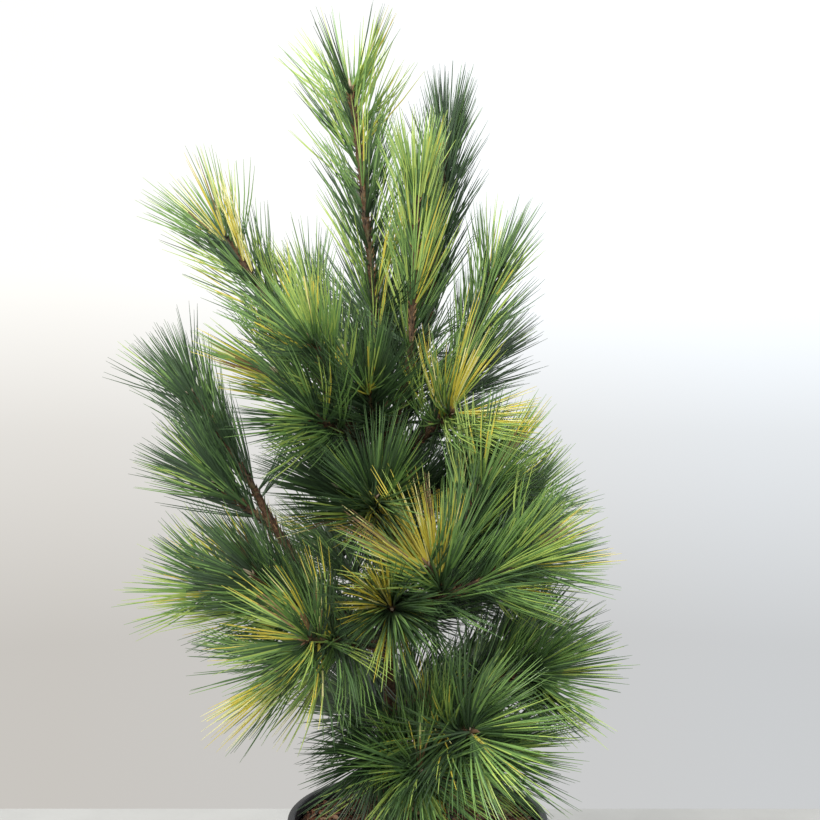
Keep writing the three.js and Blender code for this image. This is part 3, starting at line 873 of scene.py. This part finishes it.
stems = object_of(stem_shape, "shoot_stems")
stems.data.materials.append(young_bark())
scale_colours = [
    plain("scale_dark", (0.032, 0.022, 0.013), 0.85),
    plain("scale_brown", (0.145, 0.072, 0.034), 0.8),
    plain("scale_pale", (0.28, 0.16, 0.075), 0.8),
]
scales = strewn("leaf_bases", scale_shape(), base_places, scale_colours, 5)
bud_colours = [
    plain("bud_brown", (0.30, 0.17, 0.10), 0.5),
    plain("bud_pale", (0.52, 0.40, 0.29), 0.5),
]
bud_cluster = strewn("buds", bud_shape(), bud_places, bud_colours, 6)
masses = [f"needles_{name}" for tier in SHOOTS.values() for name in tier]
for piece in (stems, scales, bud_cluster):
    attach(piece, "root")
    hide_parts(*masses)


# Needles
# Slim three-sided needles in bundles of five, about 60 to 84 mm long, set in a spiral up each
# stem. They leave it wide and arch forward. Bundles differ from deep green to lime, and whole
# sprays are gold or cream, some only at their foot or tip. Painted shade darkens the foot of the
# plain needles and the needles deep in the crown.

NEEDLE_LENGTH = 84 * MM
NEEDLE_RADIUS = 0.64 * MM
BUNDLES_PER_SHOOT = 20
BUNDLE_SPACING = 2.3 * MM
OLD_SPACING = 2.6 * MM
LEAST_OPENING = 6
CROWDING = 1.3
LEAFY_FROM = 0.06
SIDE_LEAFY_FROM = 0.3
LINE_POINTS = 4
SWAYS_PER_METRE = 45
# As shares of a needle's length or radius: how far it arches, droops and sways, the ring that
# the feet of a bundle stand on, how short a bundle and then a needle may be, and its taper.
ARCH = 0.3
DROOP = 0.02
SWAY = 0.19
BUNDLE_FOOT = 0.006
SHORTEST = 0.8
SHORTER_STILL = 0.1
NEEDLE_TAPER = 0.8
# The chances that a bundle on a stem's front is left out, to show the stem, and that one strays
# from the rest, and how much wider that one opens.
PARTING = 0.6
STRAY = 0.05
STRAY_OPENING = 0.8
CLEARANCE_OF_RIM = 3 * MM
CLEARANCE_OVER_RIM = 2 * MM
CLEARANCE_STEPS = 8
# The crown's core runs up along the trunk, and needles that grow within its depth are dealt darker
# shades: painted shade for the dim inside of the crown, which also stands for its older needles.
CORE = (-25 * MM, 2 * MM)
CORE_TOP = 560 * MM
PAINTED_SHADE_DEPTH = 75 * MM
# Where along a needle its colour changes, and how far chance moves the shade of a needle and of
# a face.
NEAR, HALFWAY, FAR = 0.3, 0.6, 0.9
NEEDLE_LUCK = 0.5
FACE_LUCK = 0.4
# The chances that a bundle takes the streak it stands in, that it repeats one some places back,
# and that it is gold or rusty by itself.
TAKES_STREAK = 0.75
REPEATS = 0.16
PLACES_BACK = 8
GOLD_BY_ITSELF = 0.008
RUSTY_BY_ITSELF = 0.01
# Old needles on the boughs, and on the trunk from 400 mm up: how far they open, in degrees,
# and their shade, which on a bough is a share of its first shoot's.
OLD_ON_BOUGH = (58, 46)
OLD_ON_TRUNK = (46, 34)
OLD_TRUNK_SPACING = 1.2 * MM
OLD_TRUNK_FROM = share_of_trunk(400)
OLD_SHARE = 0.6
OLD_SHADE = 0.6
# Each tier: how full its shoots are, and its slot.
TIERS = {
    "leaders": (1.3, "needles_bright"),
    "upper_whorl": (1.1, "needles_bright"),
    "inner_crown": (2.0, "needles_dark"),
    "middle_left": (1.5, "needles_green"),
    "middle_right": (1.8, "needles_bright"),
    "middle_back": (1.4, "needles_green"),
    "low_whorl": (1.8, "needles_green"),
}
# The palette, in the order of its shades, which count from 0.
NEEDLE_COLOURS = {
    "needle_deep": (0.050, 0.088, 0.042),
    "needle_green": (0.088, 0.162, 0.058),
    "needle_leaf": (0.190, 0.325, 0.090),
    "needle_lime": (0.39, 0.51, 0.12),
    "needle_gold": (0.67, 0.56, 0.08),
    "needle_cream": (0.84, 0.79, 0.34),
    "needle_rust": (0.27, 0.165, 0.080),
}
# Three shades by their number on the palette.
LIME, GOLD, RUST = 3.0, 4.0, 6.0
# Streaks of other colours on a shoot: a direction, a half width in degrees, the share of the
# shoot from which the streak runs, and the shades of a needle's foot and tip.
STREAKS = {
    "leader": [
        ((-0.1, -0.2, 1), 18, 0.7, 4.5, 3.3),
        ((0.6, -0.2, 0.8), 18, 0.5, 3.4, 3),
        ((0, 0, 1), 80, 0.6, 2.2, 3.1),
    ],
    "second_leader": [((0.4, -0.3, 0.9), 12, 0.1, 3.4, 3)],
    "right_gold": [((1, -0.1, 0), 30, 0, 4.3, 3.9), ((0.1, -0.3, 1), 30, 0, 4.2, 3)],
    "right_upper": [((0.75, -0.1, 0.65), 11, 0.4, 5.6, 3.6), ((0.1, -0.2, 1), 12, 0.4, 3.5, 2.5)],
    "left_front": [((-0.7, -0.6, -0.1), 26, 0, 3.5, 3.2), ((0, -0.2, 1), 14, 0.5, 4.4, 3)],
    "left_front_side": [((-1, -0.2, -0.3), 22, 0, 3.3, 3.9)],
    "upper_left": [((-0.25, -0.3, 0.9), 18, 0.6, 4.5, 4.9), ((-1, -0.2, -0.1), 20, 0.3, 3.5, 3)],
    "upper_left_side": [((-1, -0.2, 0.1), 26, 0, 5.6, 3.6)],
    "back_upper": [((0, 0.5, 1), 14, 0.4, 4.4, 3)],
    "inner_back": [((0.2, 1, 0.2), 16, 0.4, 4, 3)],
    "left_level": [((-1, -0.1, 0.5), 13, 0, 4.2, 3.2), ((-1, 0, -0.1), 16, 0.3, 3.2, 3)],
    "left_front_low": [
        ((-0.7, -0.4, -0.7), 20, 0, 4.5, 4.4),
        ((-0.2, -0.5, -1), 15, 0, 4.4, 3.4),
        ((-1, -0.2, 0.25), 14, 0, 4, 3.6),
    ],
    "left_under": [((-0.75, -0.3, -0.7), 20, 0, 4.5, 4.6)],
    "centre_front": [((-0.4, -0.9, 0.4), 20, 0, 4.3, 3.8), ((0, -0.9, -0.4), 12, 0, 4, 3)],
    "gold_tuft": [((-0.4, -0.3, 0.9), 34, 0, 4, 4), ((-0.5, -0.2, 0.8), 46, 0, 3.9, 6)],
    "right_rising": [((0.6, -0.5, 0.6), 12, 0, 4, 3)],
    "right_front": [((1, -0.2, 0.05), 18, 0.3, 4, 3), ((0.5, -0.6, -0.5), 20, 0.2, 3.6, 3)],
    "back_left": [((-0.5, 1, 0.3), 14, 0.4, 4.2, 3.4)],
    "back": [((0.2, 0.6, 0.8), 18, 0.4, 4.2, 3)],
    "right_low": [((0.8, -0.4, -0.45), 22, 0.3, 2.8, 2.6)],
    "front_low": [((-0.1, -0.5, -0.85), 16, 0.4, 4, 3.4)],
    "left_low_front": [((-1, -0.3, 0.1), 9, 0.4, 4, 3)],
}


def needle_tree(materials):
    """A tree that grows a bundle of five needles on each point, and paints every needle by its
    own shade, at its foot and beyond the point where it changes."""
    sizes = {"Radius": "Float", "Splay": "Float", "Unevenness": "Float", "Seed": "Int"}
    tree, given = new_tree("Needles", **sizes)

    def dice(low, high, ident, step, kind="FLOAT"):
        values = {"Min": low, "Max": high, "ID": ident, "Seed": given.out("Seed") + step}
        return given.add("FunctionNodeRandomValue", {"data_type": kind}, values)

    def stretched(vector, share):
        values = {0: vector, "Scale": share}
        return given.add("ShaderNodeVectorMath", {"operation": "SCALE"}, values)

    line = given.add("GeometryNodeCurvePrimitiveLine", inputs={"End": (0, 0, 1)})
    line = line.add("GeometryNodeResampleCurve", inputs={"Curve": line, "Count": LINE_POINTS})
    ring = given.add("GeometryNodeMeshCircle", inputs={"Vertices": 5, "Radius": BUNDLE_FOOT})
    five = ring.add("GeometryNodeInstanceOnPoints", inputs={"Points": ring, "Instance": line})
    five = five.add("GeometryNodeRealizeInstances", inputs={"Geometry": five})
    place = five.add("GeometryNodeInputPosition")
    flat = place.vector("MULTIPLY", place, (1, 1, 0))
    out = flat.vector("NORMALIZE", flat)
    up = place.add("ShaderNodeSeparateXYZ", inputs={0: place}).out("Z")
    open_out = stretched(out, given.out("Splay") * up)
    fan = five.add("GeometryNodeSetPosition", inputs={"Geometry": five, "Offset": open_out})

    way, reach = read(given, "way", "FLOAT_VECTOR"), read(given, "reach")
    facing = given.add("FunctionNodeAlignRotationToVector", {"axis": "Z"}, {"Vector": way})
    placing = {"Points": given, "Instance": fan, "Rotation": facing, "Scale": reach}
    grown_on = given.add("GeometryNodeInstanceOnPoints", inputs=placing)
    needles = given.add("GeometryNodeRealizeInstances", inputs={"Geometry": grown_on})

    which = needles.add("GeometryNodeCurveOfPoint")
    along = needles.add("GeometryNodeSplineParameter")
    stray = dice((-1, -1, -1), (1, 1, 1), which, 1, "FLOAT_VECTOR")
    stray = stretched(stray, reach * given.out("Unevenness"))
    arch = stray.vector("ADD", read(given, "arch", "FLOAT_VECTOR"), stray)
    shorter = stretched(way, along * reach * dice(-SHORTER_STILL, 0.0, which, 2))
    move = shorter.vector("ADD", stretched(arch, along * along), shorter)
    needles = needles.add("GeometryNodeSetPosition", inputs={"Geometry": needles, "Offset": move})
    for name, value in (("along", along), ("luck", dice(-NEEDLE_LUCK, NEEDLE_LUCK, which, 3))):
        values = {"Geometry": needles, "Name": name, "Value": value}
        needles = needles.add("GeometryNodeStoreNamedAttribute", {"domain": "POINT"}, values)
    taper = 1.0 - NEEDLE_TAPER * along.maths("POWER", along, 5.0)
    radius = given.out("Radius") * taper
    section = given.add("GeometryNodeCurvePrimitiveCircle", inputs={"Resolution": 3, "Radius": 1.0})
    values = {"Curve": needles, "Profile Curve": section, "Scale": radius, "Fill Caps": True}
    skin = needles.add("GeometryNodeCurveToMesh", inputs=values)

    beyond = skin.maths("GREATER_THAN", read(given, "along"), read(given, "change"))
    face = skin.add("GeometryNodeInputIndex")
    foot = read(given, "foot")
    shade = foot + beyond * (read(given, "tip") - foot) + read(given, "luck")
    shade = shade + dice(-FACE_LUCK, FACE_LUCK, face, 4)
    shade = shade.maths("ROUND", shade.maths("MAXIMUM", shade, 0.0))
    done = painted(skin, shade, materials)
    for spent in ("along", "luck", "way", "reach", "arch", "foot", "tip", "change"):
        done = done.add("GeometryNodeRemoveAttribute", inputs={"Geometry": done, "Name": spent})
    smooth = {"Geometry": done, "Shade Smooth": False}
    done = done.add("GeometryNodeSetShadeSmooth", inputs=smooth)
    done.add("NodeGroupOutput", inputs={"Geometry": done})
    return tree


def shades_of(way, order, shade, streaks, last, dice):
    """The shades of a bundle's foot and tip, and where one gives way to the other."""
    for direction, width, outer, foot, tip in streaks:
        off = math.degrees(way.angle(Vector(direction)))
        if order < outer or off >= width * dice.uniform(0.5, 1.2):
            continue
        if dice.random() < TAKES_STREAK:
            return foot, tip, dice.choice((NEAR, HALFWAY, HALFWAY, FAR))
    if last and dice.random() < REPEATS:
        return *last, NEAR
    tip = min(LIME, max(0.0, dice.gauss(shade, 0.9)))
    odd = dice.random()
    if odd < GOLD_BY_ITSELF * (1 + shade):
        return GOLD - 0.5, max(tip, LIME - 1), dice.choice((NEAR, HALFWAY, FAR))
    if odd > 1 - RUSTY_BY_ITSELF:
        return RUST, GOLD, HALFWAY
    # Painted shade: a plain bundle's needles are a shade darker for the first part of their length,
    # near the stem.
    return max(0.0, tip - 1), tip, NEAR


def clears_pot(root, way, reach):
    """Whether a needle stays out of the pot and clear of its rim."""
    for step in range(CLEARANCE_STEPS + 1):
        point = root + way * reach * step / CLEARANCE_STEPS
        over_pot = point.xy.length < RIM_RADIUS + CLEARANCE_OF_RIM
        if over_pot and point.z < POT_HEIGHT + CLEARANCE_OVER_RIM:
            return False
    return True


def bundles(course, start, spacing, least, spread, tuft, shade, streaks, dice):
    """The bundles of needles up a limb, from wide open at its foot to half closed at its end."""
    count = round(least + course.length * (1 - start) / spacing)
    made, dealt = [], []
    for i in range(count):
        order = i / max(1, count - 1)
        share = lerp(1, start, (1 - order) ** CROWDING)
        centre, heading = course.at(share)
        outward = side_of(heading, i * GOLDEN_ANGLE + dice.uniform(-0.6, 0.6))
        if outward.y < -0.4 and abs(heading.y) < 0.6 and dice.random() < PARTING:
            continue
        jitter = lerp(0.3, 0.6, order) * dice.uniform(-1, 1)
        jitter += STRAY_OPENING if dice.random() < STRAY else 0
        opening = math.radians(max(lerp(spread, tuft, order) * (1 + jitter), LEAST_OPENING))
        final = heading * math.cos(opening) + outward * math.sin(opening)
        sway = noise.noise_vector((centre + final * NEEDLE_LENGTH * 0.5) * SWAYS_PER_METRE)
        final = (final + SWAY * sway).normalized()
        arch = heading * ARCH * math.sin(opening) - Vector((0, 0, DROOP))
        way = final - arch
        reach = NEEDLE_LENGTH * dice.uniform(SHORTEST, 1.0)
        root = centre + outward * course.radius(share)
        last = dealt[-PLACES_BACK] if len(dealt) >= PLACES_BACK else None
        # Painted shade: the nearer a bundle grows to the crown's core, the darker its shade.
        core = Vector((*CORE, min(centre.z, CORE_TOP)))
        depth = 1 - min(1.0, (centre - core).length / PAINTED_SHADE_DEPTH)
        foot, tip, change = shades_of(final, order, shade - depth, streaks, last, dice)
        dealt.append((foot, tip))
        if clears_pot(root, final, reach):
            made.append({
                "place": root,
                "way": way.normalized(),
                "arch": arch * reach,
                "reach": way.length * reach,
                "foot": float(foot),
                "tip": float(tip),
                "change": change,
            })
    return made


def shade_on(bough):
    """The mean shade of the first shoot that a bough bears."""
    for tier in SHOOTS.values():
        for on, _, _, _, _, shade in tier.values():
            if on == bough:
                return shade
    return OLD_SHADE


needle_finishes = [plain(name, colour, 0.33) for name, colour in NEEDLE_COLOURS.items()]
growing = needle_tree(needle_finishes)
needle_dice = random.Random(41)
# Without a seed of its own the sway of the needles would differ from run to run.
noise.seed_set(12)
needle_sizes = {"Radius": NEEDLE_RADIUS, "Splay": 0.10, "Unevenness": 0.045, "Seed": 9}
old_needles = []
for name, (_, _, leafy) in BOUGHS.items():
    look = (*OLD_ON_BOUGH, OLD_SHARE * shade_on(name), [], needle_dice)
    old_needles += bundles(limbs[name], leafy, OLD_SPACING, 0, *look)
look = (*OLD_ON_TRUNK, OLD_SHADE, [], needle_dice)
old_needles += bundles(limbs["trunk"], OLD_TRUNK_FROM, OLD_TRUNK_SPACING, 0, *look)
for tier, shoots in SHOOTS.items():
    places = old_needles if tier == "inner_crown" else []
    fullness, slot = TIERS[tier]
    least, spacing = BUNDLES_PER_SHOOT * fullness, BUNDLE_SPACING / fullness
    for name, (_, at, _, spread, tuft, shade) in shoots.items():
        start = LEAFY_FROM if at == 1 else SIDE_LEAFY_FROM
        look = (spread, tuft, shade, STREAKS.get(name, []), needle_dice)
        places += bundles(limbs[name], start, spacing, least, *look)
    piece = grown(points_with(tier + "_places", places), tier + "_needles", growing, **needle_sizes)
    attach(piece, "root")
    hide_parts(*(f"needles_{name}" for name in shoots))


# Setting
# A plain pale floor, soft daylight from above and in front, and the camera where it stood,
# level with the middle of the crown.

FLOOR_BACK = 0.529
FLOOR_SIZE = 3.0
CAMERA_PLACE = (-0.0064, -0.920, 0.534)
CAMERA_LENS = 47.5
SKY = [(0.40, (0.60, 0.585, 0.57)), (0.49, (0.80, 0.79, 0.78)), (0.56, (1.08, 1.08, 1.08))]
SIDES = [(0.35, (0.975, 0.96, 0.925)), (0.65, (1, 1.05, 1.10))]

floor_shape = bmesh.new()
bmesh.ops.create_grid(floor_shape, x_segments=1, y_segments=1, size=FLOOR_SIZE / 2)
bmesh.ops.translate(floor_shape, verts=floor_shape.verts, vec=(0, FLOOR_BACK - FLOOR_SIZE / 2, 0))
floor = object_of(floor_shape, "pale_floor", smooth=False)
floor_finish = Finish("pale_floor", Roughness=0.7, Specular_IOR_Level=0.3)
tones = (0.4, (0.445, 0.44, 0.42)), (0.6, (0.465, 0.46, 0.44))
floor_finish.vary("Base Color", floor_finish.ramp(floor_finish.grain(14, 5), *tones))
floor.data.materials.append(floor_finish.material)

scene = bpy.context.scene
scene.view_settings.view_transform = "Standard"
scene.world = bpy.data.worlds.new("daylight")
scene.world.use_nodes = True
sky = Wire(scene.world.node_tree)
outward = sky.add("ShaderNodeTexCoord", output="Generated")
axes = outward.add("ShaderNodeSeparateXYZ", inputs={0: outward})
height = sky.add("ShaderNodeValToRGB", {"stops": SKY}, {"Fac": axes.out("Z") * 0.5 + 0.5})
side = sky.add("ShaderNodeValToRGB", {"stops": SIDES}, {"Fac": axes.out("X") * 0.5 + 0.5})
tone = sky.vector("MULTIPLY", height, side)
background = scene.world.node_tree.nodes["Background"]
scene.world.node_tree.links.new(tone.socket, background.inputs["Color"])


def soft_light(name, place, target, size, power):
    lamp = bpy.data.lights.new(name, "AREA")
    lamp.shape, lamp.size, lamp.energy = "DISK", size, power
    light = placed(name, lamp)
    light.location = place
    light.rotation_euler = (Vector(target) - Vector(place)).to_track_quat("-Z", "Y").to_euler()


soft_light("window", (-0.6, -1.0, 1.8), (0, 0, 0.6), 1.0, 36)

camera = placed("camera", bpy.data.cameras.new("camera"))
camera.location = CAMERA_PLACE
camera.rotation_euler = (math.pi / 2, 0, 0)
camera.data.lens = CAMERA_LENS
scene.camera = camera
